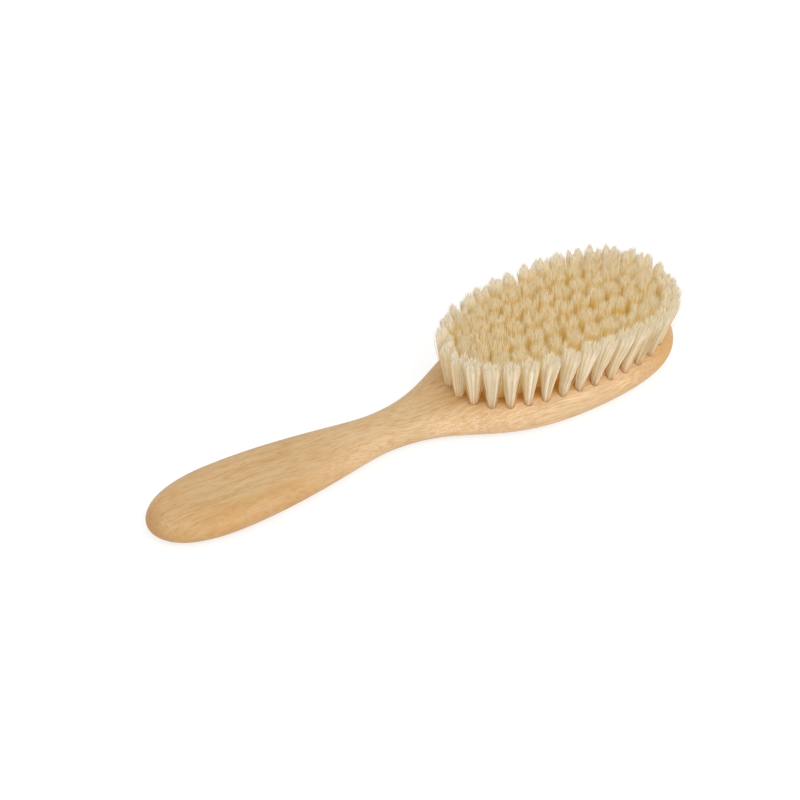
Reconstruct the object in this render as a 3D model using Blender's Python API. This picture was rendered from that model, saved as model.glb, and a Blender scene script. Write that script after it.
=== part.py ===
"""Baby grooming brush: a handle and head cut from one piece of beech, with tufts of soft goat
hair set in drilled holes. Metres, +Z up. The brush lies on its back with the hair upwards, the
handle towards -X, and the origin on the resting plane halfway along the wood."""

import math

import bmesh
import bpy
import numpy as np
from mathutils import Vector

MM = 0.001

# Plan of the wood, as distances along the brush between its widest and narrowest places
BUTT_TO_GRIP = 25.2 * MM
GRIP_TO_NECK = 52.5 * MM
NECK_TO_HEAD = 60 * MM
HEAD_TO_NOSE = 42.3 * MM
GRIP_WIDTH = 26.5 * MM
NECK_WIDTH = 14.2 * MM
HEAD_WIDTH = 46.5 * MM

# How full each stretch of the outline is, as the reach of its curve handles
BUTT_SIDE_REACH = 0.53
BUTT_LENGTH_REACH = 0.63
GRIP_REACH = 0.48
NECK_REACH_BACK = 0.16
NECK_REACH_FORWARD = 0.42
HEAD_REACH_BACK = 0.53
NOSE_LENGTH_REACH = 0.66
NOSE_SIDE_REACH = 0.68

# Thickness of the wood, and the run of its rounded edges in plan. The blend is the power that
# eases the rounding into all of the half width where the wood is narrow
GRIP_THICKNESS = 9.4 * MM
NECK_THICKNESS = 9.5 * MM
HEAD_THICKNESS = 11.7 * MM
SIDE_ROUNDING = 7.4 * MM
END_ROUNDING = 8.5 * MM
ROUNDING_BLEND = 6

# The field of tufts: an oval edge ring with bowed rows inside it. The swell is the share by which
# it widens at the nose, and narrows towards the neck
FIELD_LENGTH = 72 * MM
FIELD_MARGIN = 4 * MM
FIELD_FULLNESS = 2.4
FIELD_SWELL = 0.06
TUFT_PITCH = 5.55 * MM
ROW_PITCH = 6.4 * MM
CLOSEST_TUFTS = 4.7 * MM

# Drilled holes, and the folded root of hair that fills each one
HOLE_DIAMETER = 2.8 * MM
WOOD_UNDER_HOLES = 4.5 * MM
FIT_GAP = 0.3 * MM
ROOT_COLLAR = 0.6 * MM

# The hair above the wood. It fans out a little to the sides and ends. On the -Y side the edge has
# been pressed over: it leans towards the nose, and near the nose outwards too. Each lean sets in
# between two places, given as shares of half the field's length
HAIR_LENGTH = 16.7 * MM
HAIR_CROWN = 0.8 * MM
FAN_SIDE = 0.4 * MM
FAN_END = 0.8 * MM
FORWARD_LEAN = 4.4 * MM
FORWARD_START = -0.8
FORWARD_FULL = 0.05
OUTWARD_LEAN = 1.9 * MM
OUTWARD_START = -0.1
OUTWARD_FULL = 0.7
TIP_GAP = 0.5 * MM
LOCK_SPLIT = 0.22 * MM
POINT_LENGTH = 3 * MM
POINT_SPREAD = 0.6

# The slice of the head's face that carries each inner row
SLICE_THICKNESS = 1.4 * MM
SLICE_OVERHANG = 2.3 * MM
SLICE_RIM = 0.4 * MM

# Mesh fineness. Lengths are read from the curves in finer steps
OUTLINE_STEPS = 11
FINE_STEPS = 60
RING_STEPS = 1440
ROUNDING_STEPS = 6
ROOT_SIDES = 8
LOCK_SIDES = 2
SLICE_STEPS = 12
SHARP_EDGE = math.radians(40)

BODY_LENGTH = BUTT_TO_GRIP + GRIP_TO_NECK + NECK_TO_HEAD + HEAD_TO_NOSE
BUTT_X = -BODY_LENGTH / 2
GRIP_X = BUTT_X + BUTT_TO_GRIP
NECK_X = GRIP_X + GRIP_TO_NECK
HEAD_X = NECK_X + NECK_TO_HEAD
NOSE_X = HEAD_X + HEAD_TO_NOSE

FIELD_X = NOSE_X - FIELD_MARGIN - FIELD_LENGTH / 2
FIELD_A = FIELD_LENGTH / 2
FIELD_B = HEAD_WIDTH / 2 - FIELD_MARGIN
HALF_ROWS = max(1, round(FIELD_B / ROW_PITCH))
ROW_SPACING = FIELD_B / HALF_ROWS

HOLE_RADIUS = HOLE_DIAMETER / 2
ROOT_RADIUS = HOLE_RADIUS - FIT_GAP
TIP_Z = HEAD_THICKNESS + HAIR_LENGTH


def clear_scene():
    for obj in list(bpy.data.objects):
        bpy.data.objects.remove(obj)


def bezier(points, t):
    """Cubic Bezier curve through four plan points, at the parameters t."""
    p = np.array(points, float)
    t = np.asarray(t, float)[:, None]
    return (1 - t) ** 3 * p[0] + 3 * (1 - t) ** 2 * t * p[1] + 3 * (1 - t) * t * t * p[2] + t**3 * p[3]


def half_outline(steps):
    """One side of the plan from butt to nose: four curves joined at the grip, neck and head."""
    grip, neck, head = GRIP_WIDTH / 2, NECK_WIDTH / 2, HEAD_WIDTH / 2
    curves = (
        (
            (BUTT_X, 0),
            (BUTT_X, BUTT_SIDE_REACH * grip),
            (GRIP_X - BUTT_LENGTH_REACH * BUTT_TO_GRIP, grip),
            (GRIP_X, grip),
        ),
        (
            (GRIP_X, grip),
            (GRIP_X + GRIP_REACH * GRIP_TO_NECK, grip),
            (NECK_X - NECK_REACH_BACK * GRIP_TO_NECK, neck),
            (NECK_X, neck),
        ),
        (
            (NECK_X, neck),
            (NECK_X + NECK_REACH_FORWARD * NECK_TO_HEAD, neck),
            (HEAD_X - HEAD_REACH_BACK * NECK_TO_HEAD, head),
            (HEAD_X, head),
        ),
        (
            (HEAD_X, head),
            (HEAD_X + NOSE_LENGTH_REACH * HEAD_TO_NOSE, head),
            (NOSE_X, NOSE_SIDE_REACH * head),
            (NOSE_X, 0),
        ),
    )
    t = np.linspace(0, 1, steps + 1)
    pieces = [bezier(points, t)[:-1] for points in curves]
    return np.concatenate([*pieces, [[NOSE_X, 0]]])


def ease(share):
    """Smooth step from 0 to 1."""
    share = np.clip(share, 0, 1)
    return share * share * (3 - 2 * share)


def half_thickness(x):
    """Half the thickness along the brush, easing between grip, neck and head."""
    to_neck = ease((x - GRIP_X) / GRIP_TO_NECK)
    to_head = ease((x - NECK_X) / NECK_TO_HEAD)
    full = GRIP_THICKNESS + (NECK_THICKNESS - GRIP_THICKNESS) * to_neck
    return (full + (HEAD_THICKNESS - NECK_THICKNESS) * to_head) / 2


def end_rise(x):
    """1 along the brush, falling as a quarter ellipse over END_ROUNDING at the butt and nose."""
    inside = np.minimum(x - BUTT_X, NOSE_X - x)
    rise = np.clip(1 - inside / END_ROUNDING, 0, 1)
    return np.sqrt(1 - rise**2)


def flat_share(width):
    """Share of the half width that is flat. The rounding takes the rest: SIDE_ROUNDING on the
    head, and nearly all of it at the neck."""
    run = SIDE_ROUNDING / np.maximum(width, FIT_GAP)
    return 1 - run / (1 + run**ROUNDING_BLEND) ** (1 / ROUNDING_BLEND)


def half_width(x):
    """Half the plan width at x, read from a fine copy of the outline."""
    fine = half_outline(FINE_STEPS)
    return np.interp(x, fine[:, 0], fine[:, 1])


def face_height(x, y):
    """Height of the front face of the wood above the resting plane."""
    width = half_width(x)
    flat = flat_share(width)
    out = np.clip((np.abs(y) / width - flat) / (1 - flat), 0, 1)
    half = half_thickness(x)
    return half * (1 + end_rise(x) * np.sqrt(1 - out**2))


def principled(name, colour, roughness):
    material = bpy.data.materials.new(name)
    material.use_nodes = True
    shader = material.node_tree.nodes["Principled BSDF"]
    shader.inputs["Base Color"].default_value = (*colour, 1)
    shader.inputs["Roughness"].default_value = roughness
    shader.inputs["Metallic"].default_value = 0
    material.diffuse_color = (*colour, 1)
    return material


def new_object(name, bm, material=None):
    """A mesh object made from bm, with its normals facing out."""
    bmesh.ops.recalc_face_normals(bm, faces=bm.faces)
    mesh = bpy.data.meshes.new(name)
    bm.to_mesh(mesh)
    bm.free()
    obj = bpy.data.objects.new(name, mesh)
    bpy.context.scene.collection.objects.link(obj)
    if material:
        mesh.materials.append(material)
    return obj


def as_cutter(obj):
    obj.hide_render = True
    obj.display_type = "WIRE"
    return obj


def add_boolean(obj, other, operation):
    modifier = obj.modifiers.new(f"{operation}_{other.name}", "BOOLEAN")
    modifier.operation = operation
    modifier.object = other


def bridge(bm, one, two):
    """Faces between two closed rings of as many points."""
    for i in range(len(one)):
        j = (i + 1) % len(one)
        bm.faces.new((one[i], one[j], two[j], two[i]))


def fan(bm, ring, point):
    """Faces from a closed ring to one point."""
    for i in range(len(ring)):
        bm.faces.new((ring[i], ring[(i + 1) % len(ring)], point))


def section_shares():
    """Points round one section as (share of half width, share of half thickness, in the rounding).
    They run from the front flat over one edge, along the back and over the other edge."""
    turn = np.linspace(0, math.pi, 2 * ROUNDING_STEPS + 1)
    side = [(math.sin(a), math.cos(a)) for a in turn]
    return [(1, s, c) for s, c in side] + [(-1, s, c) for s, c in reversed(side)]


def wooden_body(material):
    """Lofts the rounded section along the outline, and closes it with a point at each end."""
    bm = bmesh.new()
    outline = half_outline(OUTLINE_STEPS)
    shares = section_shares()
    rings = []
    for x, width in outline[1:-1]:
        flat = float(flat_share(width))
        half = float(half_thickness(x))
        rise = half * float(end_rise(x))
        ring = []
        for sign, out, up in shares:
            y = sign * width * (flat + (1 - flat) * out)
            ring.append(bm.verts.new((x, y, half + rise * up)))
        rings.append(ring)
    for one, two in zip(rings, rings[1:]):
        bridge(bm, one, two)
    for ring, x in ((rings[0], BUTT_X), (rings[-1], NOSE_X)):
        fan(bm, ring, bm.verts.new((x, 0, float(half_thickness(x)))))
    body = new_object("wooden_body", bm, material)
    body.data.shade_smooth()
    body.data.set_sharp_from_angle(angle=SHARP_EDGE)
    return body


def ring_places():
    """Tuft centres evenly spaced round the oval edge of the field."""
    turn = np.linspace(0, 2 * math.pi, RING_STEPS + 1)
    x = FIELD_A * np.cos(turn)
    y = np.sign(np.sin(turn)) * FIELD_B * row_bow(FIELD_X + x)
    run = np.concatenate([[0], np.cumsum(np.hypot(np.diff(x), np.diff(y)))])
    count = round(run[-1] / TUFT_PITCH)
    stops = run[-1] * np.arange(count) / count
    return np.column_stack([FIELD_X + np.interp(stops, run, x), np.interp(stops, run, y)])


def row_bow(x):
    """How far the rows have closed in at x: 1 at the middle of the field, 0 at its ends. The
    field's edge is a superellipse that swells towards the nose."""
    outward = np.clip((x - FIELD_X) / FIELD_A, -1, 1)
    closed = (1 - np.abs(outward) ** FIELD_FULLNESS) ** (1 / FIELD_FULLNESS)
    return closed * (1 + FIELD_SWELL * outward)


def row_places(row, taken):
    """Tuft centres evenly spaced along one bowed row, out to where both of its ends still keep
    clear of the tufts already placed. Rows take odd and even numbers of tufts in turn, so they
    stagger."""
    reaches = np.linspace(FIELD_A, 0, RING_STEPS)
    clear = np.full(len(reaches), np.inf)
    for x in (FIELD_X + reaches, FIELD_X - reaches):
        y = row * ROW_SPACING * row_bow(x)
        clear = np.min([clear, *(np.hypot(x - a, y - b) for a, b in taken)], axis=0)
    reach = reaches[np.argmax(clear >= CLOSEST_TUFTS)]
    odd_steps = (row + 1) % 2
    steps = 2 * round((2 * reach / TUFT_PITCH - odd_steps) / 2) + odd_steps
    x = FIELD_X + np.linspace(-reach, reach, steps + 1)
    return list(zip(x, row * ROW_SPACING * row_bow(x)))


def all_places():
    """Centres of the edge tufts, and of each inner row's tufts from one side to the other."""
    ring = [tuple(place) for place in ring_places()]
    taken = list(ring)
    rows = {}
    for distance in range(HALF_ROWS):
        fresh = {row: row_places(row, taken) for row in sorted({-distance, distance})}
        rows.update(fresh)
        for places in fresh.values():
            taken += places
    return ring, dict(sorted(rows.items()))


def foot_and_tip(x, y):
    """Where a tuft leaves the wood, and the middle of its tips: the field fans out and crowns, and
    its -Y edge leans over."""
    end_share = (x - FIELD_X) / FIELD_A
    side_share = y / FIELD_B
    pressed = max(0, -side_share) ** 2
    forward = ease((end_share - FORWARD_START) / (FORWARD_FULL - FORWARD_START)) * FORWARD_LEAN
    outward = ease((end_share - OUTWARD_START) / (OUTWARD_FULL - OUTWARD_START)) * OUTWARD_LEAN
    drop = HAIR_CROWN * (end_share**2 + side_share**2)
    foot = Vector((x, y, float(face_height(x, y))))
    lean = (
        FAN_END * end_share + pressed * forward,
        FAN_SIDE * side_share - pressed * outward,
    )
    return foot, Vector((x + lean[0], y + lean[1], TIP_Z - drop))


def tip_radii(places):
    """Half the clear distance from each tuft's tips to the nearest other tuft's tips."""
    tips = np.array([foot_and_tip(x, y)[1][:2] for x, y in places])
    apart = np.hypot(*(tips[:, None] - tips[None]).transpose(2, 0, 1))
    np.fill_diagonal(apart, np.inf)
    return (apart.min(axis=1) - TIP_GAP) / 2


def tuft_frame(foot, tip):
    """Directions along a tuft, across it away from the middle of the field, and square to both."""
    along = (tip - foot).normalized()
    turn = math.atan2(foot.y, foot.x - FIELD_X)
    across = Vector((math.cos(turn), math.sin(turn), 0))
    across = (across - along * across.dot(along)).normalized()
    return along, across, along.cross(across)


def upright_circle(bm, place, z, radius):
    """A level ring of points, starting on the side away from the middle of the field."""
    x, y = place
    start = math.atan2(y, x - FIELD_X)
    turns = [start + 2 * math.pi * i / ROOT_SIDES for i in range(ROOT_SIDES)]
    return [bm.verts.new((x + radius * math.cos(a), y + radius * math.sin(a), z)) for a in turns]


def add_tuft(bm, place, tip_radius):
    """One tuft: its root in the hole, then four locks of hair that part, widen and end in points."""
    foot, tip = foot_and_tip(*place)
    along, across, over = tuft_frame(foot, tip)
    collar = foot + Vector((0, 0, ROOT_COLLAR))
    shoulder = tip - along * POINT_LENGTH
    low = upright_circle(bm, place, WOOD_UNDER_HOLES + FIT_GAP, ROOT_RADIUS)
    high = upright_circle(bm, place, collar.z, ROOT_RADIUS)
    bm.faces.new(low)
    bridge(bm, low, high)
    middle = bm.verts.new(collar)
    for lock in range(0, ROOT_SIDES, LOCK_SIDES):
        rim = range(lock, lock + LOCK_SIDES + 1)
        turns = [2 * math.pi * i / ROOT_SIDES for i in rim]
        spokes = [math.cos(a) * across + math.sin(a) * over for a in turns]
        outward = sum(spokes, Vector()).normalized()
        corner = shoulder + outward * LOCK_SPLIT
        root = [middle] + [high[i % ROOT_SIDES] for i in rim]
        wide = [bm.verts.new(corner)]
        wide += [bm.verts.new(corner + spoke * (tip_radius - LOCK_SPLIT)) for spoke in spokes]
        point = bm.verts.new(tip + outward * tip_radius * POINT_SPREAD)
        bridge(bm, root, wide)
        fan(bm, wide, point)


def add_hole(bm, place):
    """A cutter for one drilled hole, running out through the face."""
    low = upright_circle(bm, place, WOOD_UNDER_HOLES, HOLE_RADIUS)
    high = upright_circle(bm, place, HEAD_THICKNESS + HOLE_RADIUS, HOLE_RADIUS)
    bm.faces.new(low)
    bm.faces.new(high)
    bridge(bm, low, high)


def slice_side(row, x, shift):
    """One side of a slice in plan: the bowed line through the given row number, moved square to
    itself by shift, to the left of the way along the brush."""
    y = row * ROW_SPACING * row_bow(x)
    slope = np.gradient(y, x)
    length = np.hypot(1, slope)
    return np.column_stack([x - shift * slope / length, y + shift / length])


def slice_mesh(row, places, grow, headroom):
    """The strip of the head's face under one row, a little longer than the row and as wide as the
    bowed rows lie apart. The same strip, grown all round and with headroom, cuts its recess."""
    bm = bmesh.new()
    first = min(x for x, _ in places) - SLICE_OVERHANG - grow
    last = max(x for x, _ in places) + SLICE_OVERHANG + grow
    bottom = HEAD_THICKNESS - SLICE_THICKNESS - grow
    x = np.linspace(first, last, SLICE_STEPS + 1)
    inset = FIT_GAP / 2 - grow
    right = slice_side(row - 0.5, x, inset)
    left = slice_side(row + 0.5, x, -inset)
    rings = []
    for sides in zip(right, left):
        tops = [max(float(face_height(*side)), bottom + SLICE_RIM) + headroom for side in sides]
        low = [bm.verts.new((*side, bottom)) for side in sides]
        high = [bm.verts.new((*side, top)) for side, top in zip(sides, tops)]
        rings.append([low[0], low[1], high[1], high[0]])
    for one, two in zip(rings, rings[1:]):
        bridge(bm, one, two)
    bm.faces.new(rings[0])
    bm.faces.new(rings[-1])
    return bm


def build():
    clear_scene()
    beech = principled("beech", (0.66, 0.43, 0.22), 0.5)
    hair = principled("goat_hair", (0.72, 0.58, 0.36), 0.6)

    ring, rows = all_places()
    places = ring + [place for row in rows.values() for place in row]
    radii = dict(zip(places, tip_radii(places)))

    body = wooden_body(beech)
    drill = bmesh.new()
    for place in places:
        add_hole(drill, place)
    add_boolean(body, as_cutter(new_object("drill_cutter", drill)), "DIFFERENCE")

    for number, place in enumerate(ring, 1):
        bm = bmesh.new()
        add_tuft(bm, place, radii[place])
        new_object(f"edge_tuft_{number:02d}", bm, hair)

    for number, (row, row_tufts) in enumerate(rows.items(), 1):
        recess = new_object(f"recess_cutter_{number}", slice_mesh(row, row_tufts, FIT_GAP, HOLE_DIAMETER))
        add_boolean(body, as_cutter(recess), "DIFFERENCE")
        carrier = new_object(f"tuft_row_{number}", slice_mesh(row, row_tufts, 0, 0), hair)
        bm = bmesh.new()
        for place in row_tufts:
            add_tuft(bm, place, radii[place])
        add_boolean(carrier, as_cutter(new_object(f"row_hair_{number}", bm)), "UNION")

    locks = len(places) * ROOT_SIDES // LOCK_SIDES
    print(f"{len(ring)} edge tufts, rows of {[len(r) for r in rows.values()]}, {locks} locks of hair")


build()
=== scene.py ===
"""Baby grooming brush: an oiled beech body set with tufts of cream goat hair, lying on its back.

Lengths in the sections are in millimetres unless their names say otherwise. X runs along the brush
to the nose, Y across it and Z up from its flat back.
"""

import math
from collections import namedtuple

import bpy
import numpy as np
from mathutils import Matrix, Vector


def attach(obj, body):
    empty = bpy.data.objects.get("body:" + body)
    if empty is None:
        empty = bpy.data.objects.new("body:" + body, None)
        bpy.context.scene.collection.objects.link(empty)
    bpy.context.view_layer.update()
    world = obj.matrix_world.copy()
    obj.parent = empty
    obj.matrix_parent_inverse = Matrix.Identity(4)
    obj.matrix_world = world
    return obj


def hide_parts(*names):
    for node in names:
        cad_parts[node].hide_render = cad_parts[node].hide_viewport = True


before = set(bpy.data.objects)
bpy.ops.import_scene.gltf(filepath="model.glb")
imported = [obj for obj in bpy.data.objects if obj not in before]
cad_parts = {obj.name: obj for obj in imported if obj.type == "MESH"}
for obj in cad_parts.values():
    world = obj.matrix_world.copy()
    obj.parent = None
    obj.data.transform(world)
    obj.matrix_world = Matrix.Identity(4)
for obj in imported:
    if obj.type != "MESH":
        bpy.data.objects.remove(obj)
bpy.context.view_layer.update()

# ---------------------------------------------------------------------------------------------
# Wooden body. Handle, neck and head are one piece of pale beech, cut to the outline, rounded
# over all round and sanded, then oiled. A blind hole is drilled for each tuft, so the face of
# the head has a small dark ring round every root.

MM = 0.001
BUTT_X, NOSE_X = -90.0, 90.0
BUTT_TO_GRIP, GRIP_TO_NECK, NECK_TO_HEAD, HEAD_TO_NOSE = 25.2, 52.5, 60.0, 42.3
GRIP_WIDTH, NECK_WIDTH, HEAD_WIDTH = 26.5, 14.2, 46.5
GRIP_THICKNESS, NECK_THICKNESS, HEAD_THICKNESS = 9.4, 9.5, 11.7
SIDE_ROUNDING, END_ROUNDING, ROUNDING_BLEND = 7.4, 8.5, 6
SLIMMEST_HALF_WIDTH = 0.3
# How far the handles of the outline's curves reach, as shares of a half width or of a length.
BUTT_SIDE_REACH, BUTT_LENGTH_REACH, GRIP_REACH = 0.53, 0.63, 0.48
NECK_REACH_BACK, NECK_REACH_FORWARD, HEAD_REACH_BACK = 0.16, 0.42, 0.53
NOSE_LENGTH_REACH, NOSE_SIDE_REACH = 0.66, 0.68
OUTLINE_STEPS = 801
GRIP_X = BUTT_X + BUTT_TO_GRIP
NECK_X = GRIP_X + GRIP_TO_NECK
HEAD_X = NECK_X + NECK_TO_HEAD


def ease(share):
    """3 s^2 - 2 s^3, with s held between 0 and 1."""
    share = np.clip(share, 0, 1)
    return share * share * (3 - 2 * share)


def half_width(x):
    """Half the body's width at x: four cubic curves between its widest and narrowest places.

    A curve's point is (1-t)^3 p0 + 3 (1-t)^2 t p1 + 3 (1-t) t^2 p2 + t^3 p3; its width at x is read
    off a fine run of such points.
    """
    grip, neck, head = GRIP_WIDTH / 2, NECK_WIDTH / 2, HEAD_WIDTH / 2
    points = np.array([
        (BUTT_X, 0),
        (BUTT_X, BUTT_SIDE_REACH * grip),
        (GRIP_X - BUTT_LENGTH_REACH * BUTT_TO_GRIP, grip),
        (GRIP_X, grip),
        (GRIP_X + GRIP_REACH * GRIP_TO_NECK, grip),
        (NECK_X - NECK_REACH_BACK * GRIP_TO_NECK, neck),
        (NECK_X, neck),
        (NECK_X + NECK_REACH_FORWARD * NECK_TO_HEAD, neck),
        (HEAD_X - HEAD_REACH_BACK * NECK_TO_HEAD, head),
        (HEAD_X, head),
        (HEAD_X + NOSE_LENGTH_REACH * HEAD_TO_NOSE, head),
        (NOSE_X, NOSE_SIDE_REACH * head),
        (NOSE_X, 0),
    ])
    t = np.linspace(0, 1, OUTLINE_STEPS)[:, None]
    a, b, c, d = (points[i : i + 10 : 3][:, None] for i in range(4))
    run = (1 - t) ** 3 * a + 3 * (1 - t) ** 2 * t * b + 3 * (1 - t) * t**2 * c + t**3 * d
    run = run.reshape(-1, 2)
    return np.interp(x, run[:, 0], run[:, 1])


def half_thickness(x):
    """Half the body's thickness: it eases from the grip's to the neck's, and on to the head's."""
    to_neck = (NECK_THICKNESS - GRIP_THICKNESS) * ease((x - GRIP_X) / GRIP_TO_NECK)
    to_head = (HEAD_THICKNESS - NECK_THICKNESS) * ease((x - NECK_X) / NECK_TO_HEAD)
    return (GRIP_THICKNESS + to_neck + to_head) / 2


def end_rise(x):
    """Share of the thickness left at x: a quarter circle over the last END_ROUNDING at both ends."""
    inside = np.minimum(x - BUTT_X, NOSE_X - x)
    return np.sqrt(1 - np.clip(1 - inside / END_ROUNDING, 0, 1) ** 2)


def flat_share(width):
    """Share of the half width that stays flat.

    With r the share that SIDE_ROUNDING takes of it, 1 - r / (1 + r^6)^(1/6): all but the rounding
    where the wood is broad, and never less than none where it is narrow.
    """
    run = SIDE_ROUNDING / np.maximum(width, SLIMMEST_HALF_WIDTH)
    return 1 - run / (1 + run**ROUNDING_BLEND) ** (1 / ROUNDING_BLEND)


def face_height(x, y):
    """Height of the upper face over (x, y): flat, then a quarter of an ellipse down to the side."""
    width, half = half_width(x), half_thickness(x)
    flat = flat_share(width)
    out = np.clip((np.abs(y) / width - flat) / (1 - flat), 0, 1)
    return half * (1 + end_rise(x) * np.sqrt(1 - out**2))


# The tufts' field is a fuller oval than an ellipse and swells a little towards the nose. An even
# ring of tufts follows its edge, and five rows between them are bowed with it.
FIELD_MARGIN, FIELD_A, FIELD_FULLNESS, FIELD_SWELL = 4.0, 36.0, 2.4, 0.06
FIELD_B = HEAD_WIDTH / 2 - FIELD_MARGIN
FIELD_X = NOSE_X - FIELD_MARGIN - FIELD_A
TUFT_PITCH, HALF_ROWS, CLOSEST_TUFTS = 5.55, 3, 4.7
ROW_SPACING = FIELD_B / HALF_ROWS
FIELD_STEPS = 1440


def row_bow(x):
    """(1 - |u|^k)^(1/k) (1 + swell u), where u is x over the field's half length and k its fullness."""
    u = np.clip((x - FIELD_X) / FIELD_A, -1, 1)
    return (1 - np.abs(u) ** FIELD_FULLNESS) ** (1 / FIELD_FULLNESS) * (1 + FIELD_SWELL * u)


def ring_places():
    """Feet of the edge tufts, evenly spaced along the oval, from the nose towards +Y and round."""
    turn = np.linspace(0, 2 * math.pi, FIELD_STEPS + 1)
    x = FIELD_X + FIELD_A * np.cos(turn)
    loop = np.stack([x, np.sign(np.sin(turn)) * FIELD_B * row_bow(x)], 1)
    run = np.append(0, np.cumsum(np.hypot(*np.diff(loop, axis=0).T)))
    count = round(run[-1] / TUFT_PITCH)
    at = np.arange(count) * run[-1] / count
    return np.stack([np.interp(at, run, loop[:, 0]), np.interp(at, run, loop[:, 1])], 1)


def row_places(row, taken):
    """Feet of one inner row, evenly spaced and as long as the tufts already set leave room for.

    Odd rows have a tuft on the field's middle and even ones a gap there, so they are staggered.
    """
    reaches = np.linspace(0, FIELD_A, FIELD_STEPS)
    x = FIELD_X + np.stack([-reaches, reaches])[..., None]
    clear = np.hypot(x - taken[:, 0], row * ROW_SPACING * row_bow(x) - taken[:, 1]).min((0, 2))
    reach = reaches[clear >= CLOSEST_TUFTS].max()
    odd_steps = (row + 1) % 2
    steps = 2 * round((2 * reach / TUFT_PITCH - odd_steps) / 2) + odd_steps
    x = FIELD_X + np.linspace(-reach, reach, steps + 1)
    return np.stack([x, row * ROW_SPACING * row_bow(x)], 1)


edge_feet = ring_places()
row_feet = {}
set_so_far = edge_feet
for row in (0, -1, 1, -2, 2):
    row_feet[row] = row_places(row, set_so_far)
    set_so_far = np.concatenate([set_so_far, row_feet[row]])
all_feet = set_so_far


def mesh_piece(name, points, corners, starts, values=(), uv=None):
    """A smooth-shaded object from whole arrays.

    points are metres; corners are the faces' vertex numbers one after another; starts is where each
    face begins in them. values are (name, one number for each vertex), and uv is one pair a corner.
    """
    mesh = bpy.data.meshes.new(name)
    mesh.vertices.add(len(points))
    mesh.loops.add(len(corners))
    mesh.polygons.add(len(starts))
    mesh.vertices.foreach_set("co", points.astype(np.float32).ravel())
    mesh.loops.foreach_set("vertex_index", corners.astype(np.int32).ravel())
    mesh.polygons.foreach_set("loop_start", starts.astype(np.int32))
    mesh.update(calc_edges=True)
    mesh.polygons.foreach_set("use_smooth", np.ones(len(starts), bool))
    for value_name, numbers in values:
        attribute = mesh.attributes.new(value_name, "FLOAT", "POINT")
        attribute.data.foreach_set("value", numbers.astype(np.float32).ravel())
    if uv is not None:
        layer = mesh.uv_layers.new(name="OFBake")
        layer.data.foreach_set("uv", uv.astype(np.float32).ravel())
    piece = bpy.data.objects.new(name, mesh)
    bpy.context.scene.collection.objects.link(piece)
    return piece


def body_surface():
    """The body as one closed skin: sections across X, each a loop of points round it.

    A section's point is y = w (f + (1 - f) sin t), z = h + h e cos t on each side, with half width w,
    flat share f, half thickness h and end share e, joined by straight runs over the top and bottom.
    Each hole lowers the face by hole_depth times ease of how far the point is inside its rim. The
    sections lie close together over the head, so that its holes come out round.
    """
    hole_radius, hole_rim, hole_depth = 1.3, 0.3, 0.6
    before_holes, hole_step = FIELD_X - FIELD_A - 3, 0.33
    end = (1 - np.cos(np.linspace(0, math.pi / 2, 30)[1:])) * END_ROUNDING
    handle = np.linspace(BUTT_X + END_ROUNDING, before_holes, 70)[1:-1]
    head = np.arange(before_holes, NOSE_X - END_ROUNDING, hole_step)
    x = np.concatenate([BUTT_X + end, handle, head, NOSE_X - end[::-1]])[:, None]
    upper, lower = np.linspace(0, math.pi / 2, 46), np.linspace(math.pi / 2, math.pi, 17)[1:]
    side = np.concatenate([upper, lower])
    over, under = np.linspace(-1, 1, 72)[1:-1], np.linspace(1, -1, 14)[1:-1]
    width, half, rise = half_width(x), half_thickness(x), end_rise(x)
    flat = flat_share(width)
    out = width * (flat + (1 - flat) * np.sin(side))
    up = half + half * rise * np.cos(side)
    y = np.concatenate([over * width * flat, out, under * width * flat, -out[:, ::-1]], 1)
    z = np.concatenate([
        half * (1 + rise) + 0 * over, up, half * (1 - rise) + 0 * under, up[:, ::-1]
    ], 1)
    x = np.broadcast_to(x, y.shape)
    near = np.full(y.shape, np.inf)
    for feet in np.array_split(all_feet, 12):
        near = np.minimum(near, np.hypot(x[..., None] - feet[:, 0], y[..., None] - feet[:, 1]).min(-1))
    inside = ease((hole_radius - near) / hole_rim) * (z > half)
    z = z - hole_depth * inside
    grid = np.stack([x, y, z], -1).reshape(-1, 3)
    poles = np.array([[BUTT_X, 0, half_thickness(BUTT_X)], [NOSE_X, 0, half_thickness(NOSE_X)]])
    round_it = y.shape[1]
    number = np.arange(y.size).reshape(y.shape)
    after = np.roll(number, -1, 1)
    quads = np.stack([number[:-1], number[1:], after[1:], after[:-1]], -1).reshape(-1, 4)
    butt = np.stack([number[0], after[0], np.full(round_it, len(grid))], -1)
    nose = np.stack([after[-1], number[-1], np.full(round_it, len(grid) + 1)], -1)
    corners = np.concatenate([quads.ravel(), butt.ravel(), nose.ravel()])
    starts = np.append(np.arange(len(quads)) * 4, len(quads) * 4 + np.arange(2 * round_it) * 3)
    return np.concatenate([grid, poles]) * MM, corners, starts


body = mesh_piece("beech_body", *body_surface())


def srgb(red, green, blue):
    """A colour as it is seen on a screen, 0 to 255, made linear: ((c + 0.055) / 1.055)^2.4."""
    return tuple(((c / 255 + 0.055) / 1.055) ** 2.4 for c in (red, green, blue)) + (1.0,)


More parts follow.
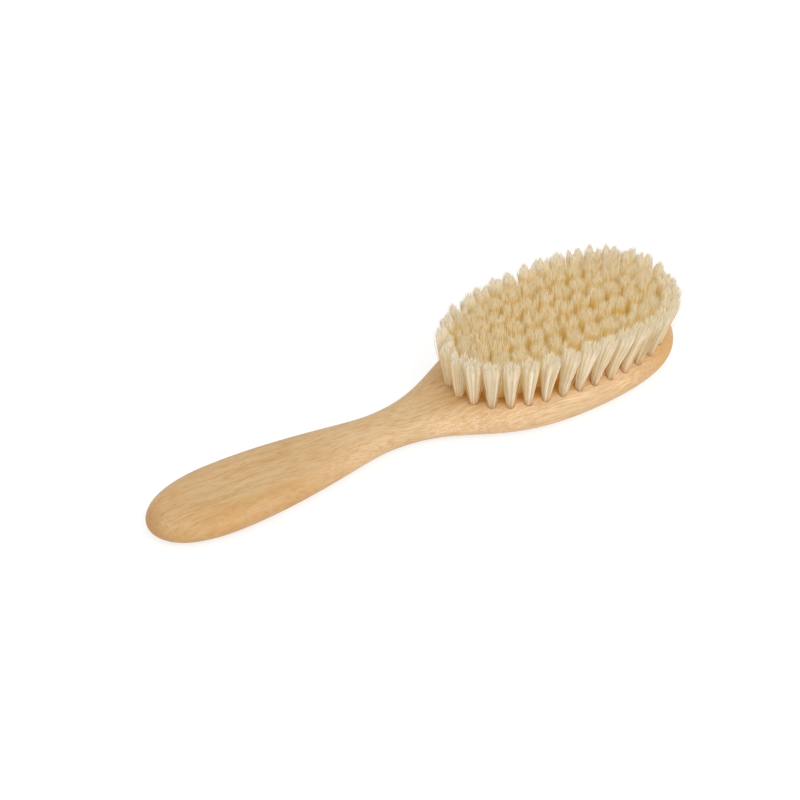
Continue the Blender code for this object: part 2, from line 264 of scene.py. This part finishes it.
class Wire:
    """A socket in a finish's node tree. Arithmetic on wires adds Math nodes."""

    def __init__(self, tree, socket=None):
        self.tree, self.socket = tree, socket

    def node(self, kind, settings=None, sockets=None, out=0):
        """Adds a node, sets its settings, then its sockets' values and links, and gives one output."""
        made = self.tree.nodes.new(kind)
        for name, value in (settings or {}).items():
            setattr(made, name, value)
        for name, value in (sockets or {}).items():
            if isinstance(value, Wire):
                self.tree.links.new(value.socket, made.inputs[name])
            else:
                made.inputs[name].default_value = value
        return Wire(self.tree, made.outputs[out]) if made.outputs else None

    def math(self, operation, a, b):
        return self.node("ShaderNodeMath", {"operation": operation}, {0: a, 1: b})

    def __add__(self, other):
        return self.math("ADD", self, other)

    def __sub__(self, other):
        return self.math("SUBTRACT", self, other)

    def __rsub__(self, other):
        return self.math("SUBTRACT", other, self)

    def __mul__(self, other):
        return self.math("MULTIPLY", self, other)

    __radd__, __rmul__ = __add__, __mul__

    def rise(self, low, high):
        """0 below low, 1 above high, and eased between them."""
        limits = {"Value": self, "From Min": low, "From Max": high}
        return self.node("ShaderNodeMapRange", {"interpolation_type": "SMOOTHSTEP"}, limits)

    def mix(self, off, on):
        """The colour off where this wire is 0, and on where it is 1."""
        return self.node("ShaderNodeMix", {"data_type": "RGBA"}, {0: self, 6: off, 7: on}, out=2)


def finish_named(name):
    """A new material with an empty node tree, and the wire to build it from."""
    material = bpy.data.materials.new(name)
    material.use_nodes = True
    material.node_tree.nodes.clear()
    return material, Wire(material.node_tree)


def place_on_brush(wire):
    """Wires for a finish's place on the brush, and how far along and across it that is, in metres."""
    place = wire.node("ShaderNodeTexCoord", out="Object")
    axes = place.node("ShaderNodeSeparateXYZ", sockets={"Vector": place})
    outputs = axes.socket.node.outputs
    return place, Wire(wire.tree, outputs["X"]), Wire(wire.tree, outputs["Y"])


def field_share(along_brush, across_brush):
    """(x / a)^2 + (y / b)^2 over the tufts' field: 0 in its middle and about 1 at its edge."""
    u = (along_brush - FIELD_X * MM) * (1 / (FIELD_A * MM))
    v = across_brush * (1 / (FIELD_B * MM))
    return u * u + v * v


beech, wire = finish_named("oiled_beech")
place, along_brush, across_brush = place_on_brush(wire)

# The grain runs 5 degrees off the handle's line and wavers by about a millimetre.
GRAIN_TURN = math.radians(5)
turned = place.node("ShaderNodeMapping", sockets={
    "Vector": place,
    "Rotation": (0, 0, GRAIN_TURN),
    "Scale": (1 / MM, 1 / MM, 1 / MM),
})
waver = place.node("ShaderNodeTexNoise", sockets={"Vector": place, "Scale": 28, "Detail": 1.0})
shift = place.node("ShaderNodeCombineXYZ", sockets={"Y": (waver - 0.5) * 7, "Z": (waver - 0.5) * 5})
grain = place.node("ShaderNodeVectorMath", {"operation": "ADD"}, {0: turned, 1: shift})


def streaks(length, width, detail=2.0, roughness=0.5):
    """Noise drawn out along the grain, whose swings take about this length and width."""
    drawn_out = (1 / length, 1 / width, 1 / width)
    drawn = grain.node("ShaderNodeMapping", sockets={"Vector": grain, "Scale": drawn_out})
    return grain.node("ShaderNodeTexNoise", sockets={
        "Vector": drawn,
        "Scale": 1,
        "Detail": detail,
        "Roughness": roughness,
    })


# Short brown rays are what marks beech; the softer bands are its growth rings, and the fine
# ochre lines its pores. The rounded -Y side cuts the rings at a slant: it is a speckled orange by
# the handle, and by the head it is painted a paler pink, a painted sheen where it faces the light.
# The neck is painted paler than the grip, a painted highlight. The nose end is more golden, and the
# butt end darker brown: its end grain, with painted shade where it faces away from the light. The
# face among the tufts is painted a deeper gold: painted shade, warmed by the light the hair throws
# back.
rays = streaks(3.6, 0.42, 1.0).rise(0.59, 0.69)
pores = streaks(4.6, 0.34, 1.0).rise(0.48, 0.62)
rings = streaks(60, 3.2, 2.0).rise(0.38, 0.66)
fibres = streaks(20, 0.6, 3.0, 0.6).rise(0.36, 0.66)
blotches = streaks(16, 7, 2.0).rise(0.42, 0.68)
specks = streaks(3.2, 1.5, 2.0, 0.55).rise(0.42, 0.62)
# Mask of the -Y side: its slanted grain, and by the head its painted sheen.
near_side = (0 - across_brush).rise(0.003, 0.012)
head_end = along_brush.rise(-0.05, -0.01) - along_brush.rise(0.06, 0.085) * 0.8
butt_end_grain_and_shade = (0 - along_brush).rise(0.084, 0.091)
nose_end = along_brush.rise(0.066, 0.084)
neck = along_brush.rise(-0.04, -0.02) - along_brush.rise(0.0, 0.015)
painted_shade_among_tufts = 1 - field_share(along_brush, across_brush).rise(0.88, 1.06)

colour = rings.mix(srgb(206, 172, 122), srgb(197, 157, 102))
colour = (fibres * 0.5).mix(colour, srgb(217, 189, 147))
colour = (blotches * 0.5).mix(colour, srgb(208, 166, 112))
# By the head the -Y side is painted a pale pink: a painted sheen where it faces the light.
head_side_sheen = fibres.mix(srgb(229, 187, 132), srgb(247, 216, 182))
side_grain_and_sheen = head_end.mix(specks.mix(srgb(204, 152, 88), srgb(188, 132, 66)), head_side_sheen)
colour = (near_side * (0.4 + blotches * 0.4)).mix(colour, side_grain_and_sheen)
# Painted highlight: the neck is painted paler than the grip.
colour = (neck * 0.3).mix(colour, srgb(224, 193, 153))
# The butt end is darker: its end grain, with painted shade where it faces away from the light.
colour = (butt_end_grain_and_shade * 0.7).mix(colour, srgb(180, 130, 72))
colour = (nose_end * 0.4).mix(colour, srgb(214, 165, 90))
colour = (pores * (0.40 - near_side * 0.15)).mix(colour, srgb(190, 138, 76))
colour = (rays * (0.34 - near_side * 0.2)).mix(colour, srgb(160, 116, 70))
# Painted shade among the tufts, warmed gold by the light the hair throws back.
colour = (painted_shade_among_tufts * 0.75).mix(colour, srgb(212, 163, 76))
relief = place.node("ShaderNodeBump", sockets={
    "Strength": 0.25,
    "Distance": 0.06 * MM,
    "Height": fibres - pores * 0.8,
})
shader = place.node("ShaderNodeBsdfPrincipled", sockets={
    "Base Color": colour,
    "Roughness": 0.44 + pores * 0.12 + fibres * 0.06,
    "Specular IOR Level": 0.35,
    "Normal": relief,
    "Coat Weight": 0.05,
    "Coat Roughness": 0.28,
})
place.node("ShaderNodeOutputMaterial", sockets={"Surface": shader})
body.data.materials.append(beech)
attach(body, "root")
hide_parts("wooden_body")

# ---------------------------------------------------------------------------------------------
# Tufts. Each is a bundle of cream goat hair, folded in half over a staple and pressed into its
# hole, so it leaves the wood as a tight round and opens towards the tips. The tips were sheared
# to a shallow crown, and the hairs have since gathered into small points.

HAIR_TOP, HAIR_CROWN = 28.4, 0.3
FAN_SIDE, FAN_END, FORWARD_LEAN, OUTWARD_LEAN = 0.4, 0.8, 4.4, 1.9


def foot_and_tip(feet):
    """Middle of each tuft where it leaves the wood and at its tips.

    With u and v the foot's place as shares of the field's half length and half width, the tip goes
    out by FAN_END u and FAN_SIDE v, and its height is HAIR_TOP - HAIR_CROWN (u^2 + v^2). The -Y side
    has been pressed over: by its share p = v^2 it leans forward by
    FORWARD_LEAN p ease((u + 0.8) / 0.85) and outward by OUTWARD_LEAN p ease((u + 0.1) / 0.8).
    """
    x, y = feet.T
    u, v = (x - FIELD_X) / FIELD_A, y / FIELD_B
    pressed = np.minimum(v, 0) ** 2
    forward = FORWARD_LEAN * pressed * ease((u + 0.8) / 0.85)
    outward = OUTWARD_LEAN * pressed * ease((u + 0.1) / 0.8)
    foot = np.stack([x, y, face_height(x, y)], 1)
    tip = np.stack([
        x + FAN_END * u + forward, y + FAN_SIDE * v - outward, HAIR_TOP - HAIR_CROWN * (u * u + v * v)
    ], 1)
    return foot, tip


def within(value, low, high, soft=0.25):
    """value held between low and high, eased so that no row of tips lines up.

    Where it would be nearer than soft to a limit, by d, its gap to the limit is soft e^(-d / soft).
    """
    value = np.where(value > high - soft, high - soft * np.exp(-(value - high + soft) / soft), value)
    return np.where(value < low + soft, low + soft * np.exp((value - low - soft) / soft), value)


def tubes(middle, around, at, values, uv_box):
    """Closed tubes from arrays of (tube, ring, 3) middles and (tube, ring, side, 3) spokes about them.

    at is each ring's share of the length, and values is (name, numbers that fit tube, ring, side).
    Each tube has its own cell of the map, inside uv_box: its sides rolled out flat, and a small
    triangle or fan for each end.
    """
    many, rings, sides, _ = around.shape
    points = middle[:, :, None] + around
    x = within(points[..., 0], BUTT_X, NOSE_X - 0.02)
    y = within(points[..., 1], -HEAD_WIDTH / 2, HEAD_WIDTH / 2)
    z = within(points[..., 2], 0, HAIR_TOP)
    points = np.stack([x, y, z], -1).reshape(-1, 3) * MM
    shape = many, rings, sides
    values = [(name, np.broadcast_to(numbers, shape).ravel()) for name, numbers in values]

    number = np.arange(rings * sides).reshape(rings, sides)
    after = np.roll(number, -1, 1)
    quads = np.stack([number[:-1], after[:-1], after[1:], number[1:]], -1).reshape(-1, 4)
    one = np.concatenate([quads.ravel(), number[0, ::-1], number[-1]])
    one_starts = np.append(np.arange(len(quads)) * 4, len(quads) * 4 + np.array([0, sides]))
    corners = (one + np.arange(many)[:, None] * rings * sides).ravel()
    starts = (one_starts + np.arange(many)[:, None] * len(one)).ravel()

    step, side = np.divmod(np.arange((rings - 1) * sides)[:, None], sides)
    strip_u = (side + np.array([0.08, 0.92, 0.92, 0.08])) / sides
    strip_v = 0.08 + 0.82 * at[step + np.array([0, 0, 1, 1])]
    turn = np.arange(sides) * 2 * math.pi / sides
    cap_u, cap_v = 0.3 + 0.2 * np.cos(turn), 0.035 + 0.025 * np.sin(turn)
    cell_u = np.concatenate([strip_u.ravel(), cap_u, cap_u])
    cell_v = np.concatenate([strip_v.ravel(), cap_v, cap_v + 0.93])
    low_u, low_v, high_u, high_v = uv_box
    columns = math.ceil(math.sqrt(many * (high_u - low_u) / (high_v - low_v)))
    down, over = np.divmod(np.arange(many), columns)
    u = low_u + (high_u - low_u) * (over[:, None] + cell_u) / columns
    v = low_v + (high_v - low_v) * (down[:, None] + cell_v) / math.ceil(many / columns)
    return points, corners, starts, values, np.stack([u, v], -1).reshape(-1, 2)


# How a tuft opens and parts: its radius at the tips and the power by which it opens towards them, how
# much its locks fall off round a point and how far they are drawn to it, the share of its length over
# which a lock is full, and the power of the random share that sets a point off the tuft's middle.
Spread = namedtuple("Spread", "tip_radius opening_power slope pull full_to point_power")
FAR_SPREAD = Spread(
    tip_radius=3.15, opening_power=0.75, slope=3.0, pull=0.42, full_to=0.86, point_power=0.2
)
NEAR_SPREAD = Spread(
    tip_radius=3.4, opening_power=1.1, slope=0.9, pull=0.22, full_to=0.86, point_power=0.3
)
ROW_SPREAD = Spread(
    tip_radius=3.2, opening_power=0.6, slope=1.5, pull=0.24, full_to=0.76, point_power=0.5
)
LOCKS_PER_TUFT, LOCKS_REACH, POINTS_PER_TUFT, POINTS_REACH = 30, 0.76, 6, 0.95
POINT_BREADTH, POINTS_UNEVEN, LOCKS_UNEVEN = 0.20, 0.25, 0.15
ROOT_RADIUS, DEEP_BELOW = 1.1, 3.9
GOLDEN_ANGLE = math.pi * (3 - math.sqrt(5))


def lock_places(tufts, spread, seed):
    """Each tuft's locks: where they leave the root and where they end, in shares of its radius there,
    how much lower each ends (mm), and its tone.

    Lock i of n leaves at radius LOCKS_REACH sqrt((i + 1/2) / n), turned i golden angles. It ends nearer
    to the closest of the tuft's points, by spread.pull of the way, and lower by spread.slope times how
    much further than POINT_BREADTH it was from it.
    """
    draw = np.random.default_rng(seed)
    count = np.arange(LOCKS_PER_TUFT)
    angle = count * GOLDEN_ANGLE + draw.uniform(0, 2 * math.pi, (tufts, 1))
    radius = np.sqrt((count[:, None] + 0.5) / LOCKS_PER_TUFT)
    start = np.stack([np.cos(angle), np.sin(angle)], -1) * LOCKS_REACH * radius
    start = start + draw.normal(0, 0.035, start.shape)
    point_angle = draw.uniform(0, 2 * math.pi, (tufts, POINTS_PER_TUFT))
    point_radius = POINTS_REACH * draw.random((tufts, POINTS_PER_TUFT)) ** spread.point_power
    points = np.stack([np.cos(point_angle), np.sin(point_angle)], -1) * point_radius[..., None]
    to_points = np.linalg.norm(start[:, :, None] - points[:, None], axis=-1)
    nearest = to_points.argmin(-1)
    end = start + spread.pull * (np.take_along_axis(points, nearest[..., None], 1) - start)
    points_lower = np.abs(draw.normal(0, POINTS_UNEVEN, (tufts, POINTS_PER_TUFT)))
    lower = (
        spread.slope * (to_points.min(-1) - POINT_BREADTH)
        + np.take_along_axis(points_lower, nearest, 1)
        + np.abs(draw.normal(0, LOCKS_UNEVEN, nearest.shape))
    )
    points_tone = draw.random((tufts, POINTS_PER_TUFT))
    tone = 0.4 * np.take_along_axis(points_tone, nearest, 1) + 0.6 * draw.random(nearest.shape)
    return start, end, lower, tone


def radius_at(share, spread):
    """A tuft's radius at a share s of its length: root + (tips - root) s^opening_power."""
    return ROOT_RADIUS + (spread.tip_radius - ROOT_RADIUS) * share**spread.opening_power


def openness(places, open_side):
    """How open places in tufts are to the light: ease(0.6 + p . open_side / 0.9), p in radii.

    open_side is, for each tuft, a direction in which no other tuft hides it, or zero, which opens none.
    """
    side = open_side.reshape(len(open_side), *(1,) * (places.ndim - 2), 2)
    return ease((places * side).sum(-1) / 0.9 + 0.6) * side.any(-1)


def deep_below(open_side):
    """How far below its tips a tuft's hair is deep, one for each tuft: edge tufts let in more light."""
    return DEEP_BELOW * (1 + 0.6 * open_side.any(1))


HAIRS_PER_TUFT, LOCK_PULL = 320, 0.14
HAIR_BEND, STRAY_BEND, STRAY_SHARE = 0.14, 1.0, 0.06
HAIRS_UNEVEN, SHORT_SHARE, SHORT_BY, DARK_SHARE = 0.42, 0.06, (0.5, 4.0), 0.004
HAIR_START, LOCK_START = 0.5, 1.25


def hairs(feet, spread, open_side, seed):
    """The tufts' hairs as closed three-sided tubes that start HAIR_START below the wood's face.

    In a tuft, hair i of n starts at radius sqrt((i + 1/2) / n), turned i golden angles. At share s of
    its length it is at foot + s^1.2 (tip - foot) + radius(s) place(s) + bend s^2: its place moves with
    and towards the nearest of the tuft's locks, by a share s^4, and the bend is random. A stray hair
    bends more, and by 3.2 s (1 - 0.75 s), so it bows out of the tuft's side. A hair ends lower the
    further it is from its lock, and a few are short.
    """
    draw = np.random.default_rng(seed)
    foot, tip = foot_and_tip(feet)
    tufts, n = len(feet), HAIRS_PER_TUFT
    count = np.arange(n)
    angle = count * GOLDEN_ANGLE + draw.uniform(0, 2 * math.pi, (tufts, 1))
    angle = angle + draw.normal(0, 0.12, (tufts, n))
    radius = np.sqrt((count + 0.5) / n) * (1 + draw.normal(0, 0.03, (tufts, n)))
    place = np.stack([np.cos(angle), np.sin(angle)], -1) * radius[..., None]
    lock_start, lock_end, lower, lock_tone = lock_places(tufts, spread, seed)
    to_locks = np.linalg.norm(place[:, :, None] - lock_start[:, None], axis=-1)
    nearest = to_locks.argmin(-1)
    moved = np.take_along_axis(lock_end - lock_start, nearest[..., None], 1)
    gathered = LOCK_PULL * (np.take_along_axis(lock_start, nearest[..., None], 1) - place)
    tip_place = place + moved + gathered + draw.normal(0, 0.03, (tufts, n, 2))
    stray = draw.random((tufts, n)) < STRAY_SHARE
    bend = draw.normal(0, 1, (tufts, n, 2)) * np.where(stray, STRAY_BEND, HAIR_BEND)[..., None]
    drop = (
        to_locks.min(-1)
        + np.take_along_axis(lower, nearest, 1)
        + np.abs(draw.normal(0, HAIRS_UNEVEN, (tufts, n)))
        + np.where(draw.random((tufts, n)) < SHORT_SHARE, draw.uniform(*SHORT_BY, (tufts, n)), 0)
    )
    at = np.array([0.0, 0.16, 0.42, 0.72, 1.0])
    taper = np.array([0.070, 0.075, 0.070, 0.060, 0.018])
    thick = taper[:, None] * draw.uniform(0.75, 1.2, (tufts, n, 1, 1))
    s = at[:, None]
    spot = place[:, :, None] * (1 - s**4) + tip_place[:, :, None] * s**4
    bow = np.where(stray[..., None, None], 3.2 * s * (1 - 0.75 * s), s**2)
    lean = (tip - foot)[:, None, None, :2] * s**1.2
    level = foot[:, None, None, :2] + lean + radius_at(s, spread) * spot + bend[:, :, None] * bow
    low = foot[:, None, 2:] - HAIR_START
    rise = low + (tip[:, None, 2:] - drop[..., None] - low) * at
    twist = draw.uniform(0, 2 * math.pi, (tufts, n, 1, 1)) + np.arange(3) * 2 * math.pi / 3
    around = np.stack([np.cos(twist) * thick, np.sin(twist) * thick, 0 * twist * thick], -1)

    tone = 0.5 * np.take_along_axis(lock_tone, nearest, 1) + 0.5 * draw.random((tufts, n))
    dark = draw.random((tufts, n)) < DARK_SHARE
    hidden = 1 - openness(place, open_side) * np.where(stray, 0.3, 1)
    deep = hidden[..., None] * ease((tip[:, None, 2:] - rise) / deep_below(open_side)[:, None, None])
    values = [
        ("tone", tone.reshape(-1, 1, 1)),
        ("dark", dark.reshape(-1, 1, 1)),
        ("deep", deep.reshape(-1, len(at), 1)),
        ("along", at[:, None]),
    ]
    middle = np.concatenate([level, rise[..., None]], -1).reshape(-1, len(at), 3)
    return tubes(middle, around.reshape(-1, len(at), 3, 3), at, values, (0, 0, 1, 0.8))


def locks(feet, spread, open_side, seed):
    """What shows between the loose hairs: the same hair, as a closed ribbed cone for each lock.

    A lock's middle runs as the hairs do, from LOCK_START below the wood's face to the lock's end. Its
    radius is lock_share of the tuft's. Past f = spread.full_to of its length it draws in to a soft
    point, and at share s that radius is scaled by 1 - ((s - f) / (1 - f))^drawn_power. The ribs are
    random round it.
    """
    lock_share, drawn_power, least_share, ribs = 0.27, 1.2, 0.03, 8
    under_tips = 5.0 * (1 - spread.full_to)
    draw = np.random.default_rng(seed)
    foot, tip = foot_and_tip(feet)
    lock_start, lock_end, lower, lock_tone = lock_places(len(feet), spread, seed)
    at = np.array([0.0, 0.12, 0.35, 0.6, 0.80, 0.87, 0.94, 1.0])
    s = at[:, None]
    low = foot[:, None, 2:] - LOCK_START
    rise = low + (tip[:, None, 2:] - under_tips - lower[..., None] - low) * at
    places = lock_start[:, :, None] * (1 - s**4) + lock_end[:, :, None] * s**4
    lean = (tip - foot)[:, None, None, :2] * s**1.2
    level = foot[:, None, None, :2] + lean + radius_at(s, spread) * places
    drawn_in = 1 - np.clip((at - spread.full_to) / (1 - spread.full_to), 0, 1) ** drawn_power
    reach = radius_at(at, spread) * lock_share * np.maximum(drawn_in, least_share)
    shape = (len(feet), LOCKS_PER_TUFT, len(at), ribs)
    rib = 1 + draw.normal(0, 0.07, (*shape[:2], 1, ribs)) + draw.normal(0, 0.02, shape)
    turn = np.arange(ribs) * 2 * math.pi / ribs
    reach = reach[:, None] * rib
    around = np.stack([reach * np.cos(turn), reach * np.sin(turn), 0 * reach], -1)
    middle = np.concatenate([level, rise[..., None]], -1)
    rib_tone = 0.5 * draw.random((*shape[:2], 1, ribs))
    tone = 0.4 * lock_tone[..., None, None] + rib_tone + 0.1 * draw.random(shape)
    spoke = lock_start[:, :, None, None] + lock_share * np.stack([np.cos(turn), np.sin(turn)], -1)
    below_tip = (tip[:, None, 2:] - rise) / deep_below(open_side)[:, None, None]
    deep = (1 - openness(spoke, open_side)) * ease(below_tip)[..., None]
    values = [
        ("tone", tone.reshape(-1, len(at), ribs)),
        ("dark", np.zeros(1)),
        ("deep", deep.reshape(-1, len(at), ribs)),
        ("along", at[:, None]),
    ]
    around = around.reshape(-1, len(at), ribs, 3)
    return tubes(middle.reshape(-1, len(at), 3), around, at, values, (0, 0.8, 1, 1))


# Goat hair lets light through, so the gaps between the tufts glow ochre instead of going dark. The
# hair gives off a little light of its own for that: ochre deep down, cream at the tips. Deep in the
# tufts and at the roots its colour is painted ochre and tan as painted shade too. Towards the rim
# that painted shade is weaker and the tips are painted greyer, and on the far side and at the butt
# end the tips are painted greyer still, as if the white behind showed through them.
goat_hair, wire = finish_named("goat_hair")
tone = wire.node("ShaderNodeAttribute", {"attribute_name": "tone"}, out="Fac")
dark = wire.node("ShaderNodeAttribute", {"attribute_name": "dark"}, out="Fac")
deep = wire.node("ShaderNodeAttribute", {"attribute_name": "deep"}, out="Fac")
along = wire.node("ShaderNodeAttribute", {"attribute_name": "along"}, out="Fac")
place, along_brush, across_brush = place_on_brush(wire)
rim = field_share(along_brush, across_brush).rise(0.5, 1.15)
# Mask for painted grey on the tips of the far side and the butt end, as if the white behind showed
# through.
painted_grey_against_white = rim * (1 - (along_brush * 0.35 - across_brush).rise(0.010, 0.028))
bands = place.node("ShaderNodeTexNoise", sockets={"Vector": place, "Scale": 260, "Detail": 2.0})
pale = (tone * 0.8 + bands * 0.3).rise(0.15, 0.95).mix(srgb(206, 181, 138), srgb(234, 223, 203))
# Painted shade: the ochre the hair is given where light is lost deep in the tufts, browner low down.
ochre = tone.rise(0.1, 0.9).mix(srgb(196, 162, 84), srgb(214, 183, 106))
ochre = along.rise(0.1, 0.7).mix(srgb(182, 128, 60), ochre)
let_through = along.rise(0.1, 0.75).mix(srgb(112, 82, 28), srgb(120, 104, 57))
let_through = deep.mix(srgb(96, 85, 62), (rim * along).mix(let_through, srgb(130, 118, 82)))
let_through = (along.rise(0.84, 1.0) * 0.8).mix(let_through, srgb(116, 109, 90))
# The tips are painted greyer towards the rim, and greyer still on the far side and the butt end.
tip_colour = painted_grey_against_white.mix(rim.mix(srgb(231, 219, 194), srgb(210, 198, 174)), srgb(212, 202, 187))
pale = (along.rise(0.80, 1.0) * 0.9).mix(pale, tip_colour)
# Deep in the tufts the cream is painted over with that ochre shade, weaker towards the rim.
colour = (deep * (1 - rim * 0.45)).mix(pale, ochre)
# Painted shade at the roots: the lowest third of the hair is painted a darker tan.
colour = ((1 - along.rise(0.0, 0.35)) * 0.7).mix(colour, srgb(208, 164, 104))
colour = dark.mix(colour, srgb(128, 84, 48))
shader = place.node("ShaderNodeBsdfPrincipled", sockets={
    "Base Color": colour,
    "Roughness": 0.46 + bands * 0.12,
    "Emission Color": let_through,
    "Emission Strength": 1.0,
    "Specular IOR Level": 0.35,
    "Sheen Weight": 0.5,
    "Sheen Roughness": 0.5,
    "Sheen Tint": (1.0, 0.86, 0.62, 1.0),
})
place.node("ShaderNodeOutputMaterial", sockets={"Surface": shader})
goat_hair.cycles.emission_sampling = "NONE"


def hair_piece(name, feet, spread, open_side, seed, nodes):
    """One piece of hair standing for those nodes of the CAD: its tufts' locks and their loose hairs."""
    parts = [make(feet, spread, open_side, seed) for make in (locks, hairs)]
    vertices, corner_count = len(parts[0][0]), len(parts[0][1])
    piece = mesh_piece(
        name,
        np.concatenate([part[0] for part in parts]),
        np.concatenate([parts[0][1], parts[1][1] + vertices]),
        np.concatenate([parts[0][2], parts[1][2] + corner_count]),
        [(one[0], np.concatenate([one[1], two[1]])) for one, two in zip(parts[0][3], parts[1][3])],
        np.concatenate([part[4] for part in parts]),
    )
    piece.data.materials.append(goat_hair)
    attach(piece, "root")
    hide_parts(*nodes)
    return piece


# The edge ring leans out over the rounded rim of the head, and its outer hairs stand in the light.
# The hairs of its -Y side are pressed together, and those of the rest have parted into points.
edge_names = np.array([f"edge_tuft_{number:02d}" for number in range(1, len(edge_feet) + 1)])
outwards = edge_feet - [FIELD_X, 0]
outwards = outwards / FIELD_A**2 * [1, (FIELD_A / FIELD_B) ** 2]
outwards /= np.linalg.norm(outwards, axis=1)[:, None]
edge_parts = (
    ("far_side", slice(0, 12), FAR_SPREAD),
    ("butt_side", slice(12, 18), FAR_SPREAD),
    ("near_side", slice(18, None), NEAR_SPREAD),
)
for seed, (name, part, spread) in enumerate(edge_parts, 11):
    hair_piece(f"edge_hair_{name}", edge_feet[part], spread, outwards[part], seed, edge_names[part])

# The five inner rows stand nearly upright and fill the oval between the edge tufts.
for row, feet in sorted(row_feet.items()):
    hair_piece(f"row_hair_{row + 3}", feet, ROW_SPREAD, 0 * feet, 23 + row, [f"tuft_row_{row + 3}"])

# ---------------------------------------------------------------------------------------------
# Studio. A white floor and an even white surround, with one broad soft light high on the right
# of the camera and a weaker one on its left, as for a catalogue picture.



def seen_directly(wire):
    """1 where a ray comes from the camera, also by a mirror or through glass, and 0 elsewhere."""
    rays = "Is Camera Ray", "Is Glossy Ray", "Is Transmission Ray"
    camera_ray, mirrored, through = [wire.node("ShaderNodeLightPath", out=ray) for ray in rays]
    return camera_ray + mirrored + through


FLOOR_REACH, FLOOR_DROP = 4.0, 0.00004
floor_corners = [
    (side_x * FLOOR_REACH, side_y * FLOOR_REACH, -FLOOR_DROP)
    for side_x, side_y in ((-1, -1), (1, -1), (1, 1), (-1, 1))
]
floor_mesh = bpy.data.meshes.new("floor")
floor_mesh.from_pydata(floor_corners, [], [(0, 1, 2, 3)])
floor = bpy.data.objects.new("floor", floor_mesh)
bpy.context.scene.collection.objects.link(floor)
white_floor, wire = finish_named("white_floor")
lighting = wire.node("ShaderNodeBsdfDiffuse", sockets={"Color": (0.86, 0.86, 0.86, 1)})
pale = wire.node("ShaderNodeBsdfDiffuse", sockets={"Color": (0.42, 0.42, 0.42, 1)})
glow = wire.node("ShaderNodeEmission", sockets={"Color": (1, 1, 1, 1), "Strength": 0.68})
shown = wire.node("ShaderNodeAddShader", sockets={0: pale, 1: glow})
surface = wire.node("ShaderNodeMixShader", sockets={0: seen_directly(wire), 1: lighting, 2: shown})
wire.node("ShaderNodeOutputMaterial", sockets={"Surface": surface})
floor_mesh.materials.append(white_floor)

scene = bpy.context.scene
world = bpy.data.worlds.new("studio")
scene.world = world
world.use_nodes = True
world.node_tree.nodes.clear()
wire = Wire(world.node_tree)
around = wire.node("ShaderNodeBackground", sockets={"Color": (1, 1, 1, 1), "Strength": 0.73})
white = wire.node("ShaderNodeBackground", sockets={"Color": (1, 1, 1, 1), "Strength": 1.0})
sky = wire.node("ShaderNodeMixShader", sockets={0: seen_directly(wire), 1: around, 2: white})
wire.node("ShaderNodeOutputWorld", sockets={"Surface": sky})

# The lens in millimetres, and how far the camera aims to the right of the origin and above it.
CAMERA_TURN, CAMERA_RISE, CAMERA_DISTANCE = math.radians(31.03), math.radians(44), 0.9
CAMERA_LENS, AIM_RIGHT, AIM_UP = 133.74, -4.40, 9.10
toward = Vector((
    math.sin(CAMERA_TURN) * math.cos(CAMERA_RISE),
    math.cos(CAMERA_TURN) * math.cos(CAMERA_RISE),
    -math.sin(CAMERA_RISE),
))
right = Vector((math.cos(CAMERA_TURN), -math.sin(CAMERA_TURN), 0))
up = right.cross(toward)
camera_data = bpy.data.cameras.new("camera")
camera_data.lens, camera_data.sensor_width = CAMERA_LENS, 36
camera_data.clip_start, camera_data.clip_end = 0.01, 50
camera = bpy.data.objects.new("camera", camera_data)
scene.collection.objects.link(camera)
camera.location = -CAMERA_DISTANCE * toward
aim = AIM_RIGHT * MM * right + AIM_UP * MM * up
camera.rotation_mode = "QUATERNION"
camera.rotation_quaternion = (aim - camera.location).to_track_quat("-Z", "Y")
scene.camera = camera


def soft_sun(name, from_direction, strength, spread):
    """A sun that shines from a direction and is as broad in the sky as spread, in degrees."""
    lamp = bpy.data.lights.new(name, "SUN")
    lamp.energy, lamp.angle = strength, math.radians(spread)
    light = bpy.data.objects.new(name, lamp)
    scene.collection.objects.link(light)
    light.rotation_mode = "QUATERNION"
    light.rotation_quaternion = from_direction.to_track_quat("Z", "Y")


to_camera = Vector((-toward.x, -toward.y, 0)).normalized()
above = Vector((0, 0, 1))
soft_sun("key", 0.65 * right + 0.6 * to_camera + 0.85 * above, 1.1, 45)
soft_sun("fill", -0.7 * right + 0.5 * to_camera + 0.9 * above, 0.35, 70)

scene.view_settings.view_transform = "Standard"
